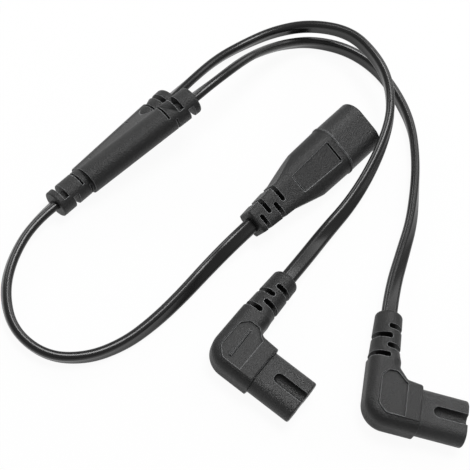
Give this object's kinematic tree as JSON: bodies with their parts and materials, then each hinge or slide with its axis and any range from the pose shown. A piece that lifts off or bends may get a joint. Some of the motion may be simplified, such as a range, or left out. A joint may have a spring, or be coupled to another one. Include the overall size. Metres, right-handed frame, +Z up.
{
  "type": "figure eight power connector",
  "caption": "Y power lead with right-angled figure-eight connectors and a straight figure-eight cord plug, joined by flat black cords through a moulded splitter.",
  "frame": {"origin": "on the table, under the middle of the plug, connectors and splitter", "axes": "+Z up from the table, +X the way the plug's shroud points"},
  "size_m": [0.1707, 0.1549, 0.0229],
  "materials": {
    "black_pvc": "fine matte texture",
    "black_insert": "satin, slightly grained",
    "cord_pvc": "smooth satin",
    "inner_plastic": "plain",
    "contact_brass": "bare brass",
    "pin_nickel": "nickel plated",
    "core_brown": "plain",
    "core_blue": "plain"
  },
  "bodies": {
    "root": {"connector_a_overmould": "black_pvc", "connector_a_nose": "black_insert", "connector_a_contact_live": "contact_brass", "connector_a_contact_neutral": "contact_brass", "connector_a_core_live": "core_brown", "connector_a_core_neutral": "core_blue", "connector_b_overmould": "black_pvc", "connector_b_nose": "black_insert", "connector_b_contact_live": "contact_brass", "connector_b_contact_neutral": "contact_brass", "connector_b_core_live": "core_brown", "connector_b_core_neutral": "core_blue", "plug_overmould": "black_pvc", "plug_insert": "black_insert", "plug_pin_live": "pin_nickel", "plug_pin_neutral": "pin_nickel", "plug_core_live": "core_brown", "plug_core_neutral": "core_blue", "splitter_overmould": "black_pvc", "splitter_inner_mould": "inner_plastic", "splitter_splice_live": "contact_brass", "splitter_splice_neutral": "contact_brass", "splitter_trunk_core_live": "core_brown", "splitter_trunk_core_neutral": "core_blue", "splitter_core_a_live": "core_brown", "splitter_core_a_neutral": "core_blue", "splitter_core_b_live": "core_brown", "splitter_core_b_neutral": "core_blue", "trunk_cord": "cord_pvc", "branch_cord_a": "cord_pvc", "branch_cord_b": "cord_pvc"}
  },
  "joints": []
}
